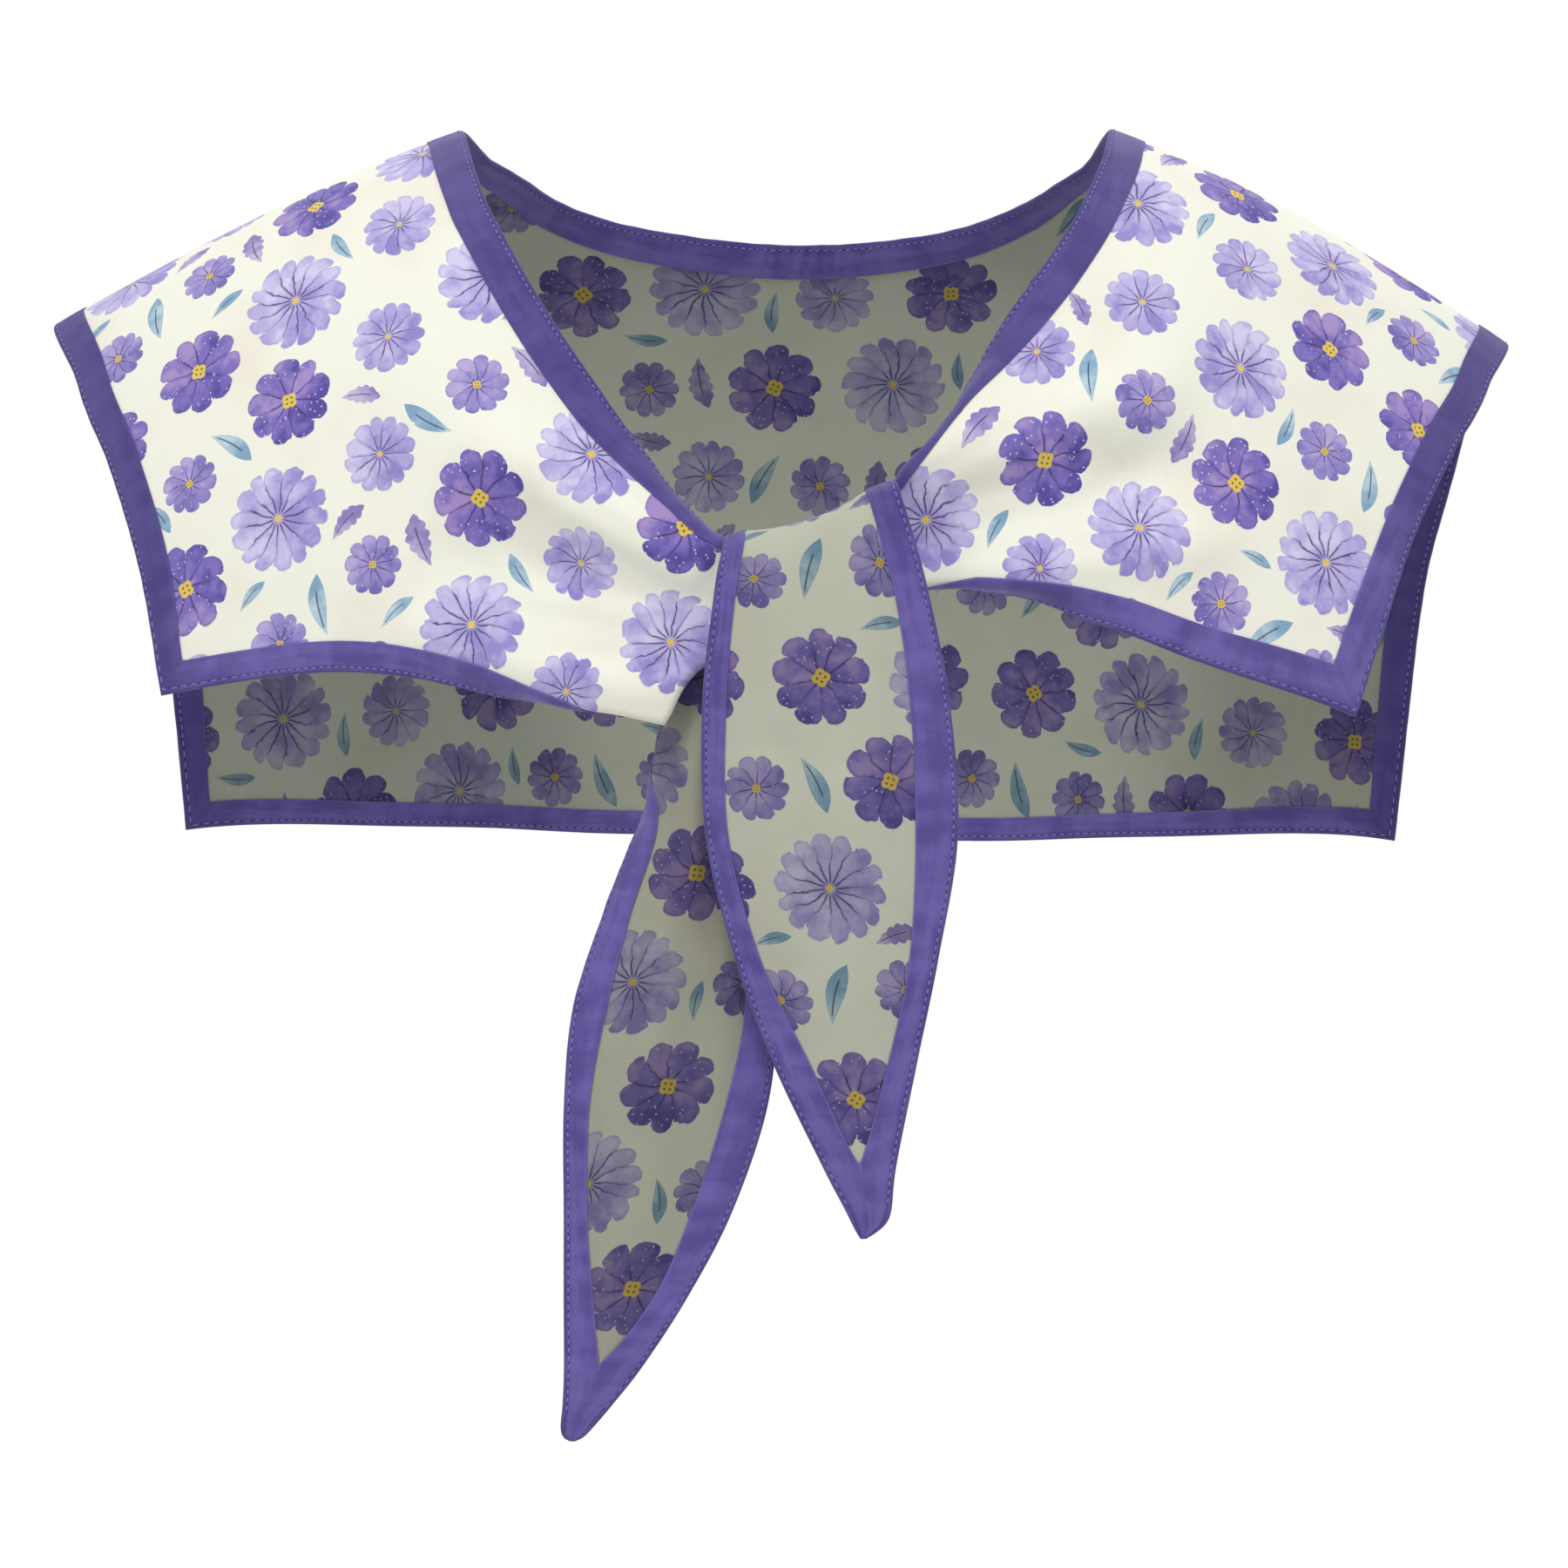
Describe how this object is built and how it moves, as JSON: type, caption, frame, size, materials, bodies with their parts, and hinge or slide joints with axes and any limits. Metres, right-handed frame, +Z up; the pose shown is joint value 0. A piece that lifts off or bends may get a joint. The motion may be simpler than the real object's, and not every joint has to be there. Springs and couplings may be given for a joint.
{
  "type": "detachable collar",
  "caption": "Cape-shaped detachable cloth collar with a plain bound edge all round and long pointed front ends tied in a half knot.",
  "frame": {"origin": "midway between the two high neck points on the shoulder line, where the collar sits on the shoulders beside the neck", "axes": "+Z up, +X to the wearer's left (the viewer's right), +Y to the wearer's back; the knot and the ties are at -Y"},
  "size_m": [0.4596, 0.2164, 0.4042],
  "materials": {
    "printed_cloth": "matt printed cotton, cream with violet and lavender flowers and pale blue leaves",
    "violet_band": "matt plain violet cotton, folded over the edge and top-stitched"
  },
  "bodies": {
    "root": {"collar_cloth": "printed_cloth", "front_tie_cloth": "printed_cloth", "back_tie_cloth": "printed_cloth", "neck_binding": "violet_band", "hem_binding": "violet_band", "front_tie_binding": "violet_band", "back_tie_binding": "violet_band"}
  },
  "joints": []
}
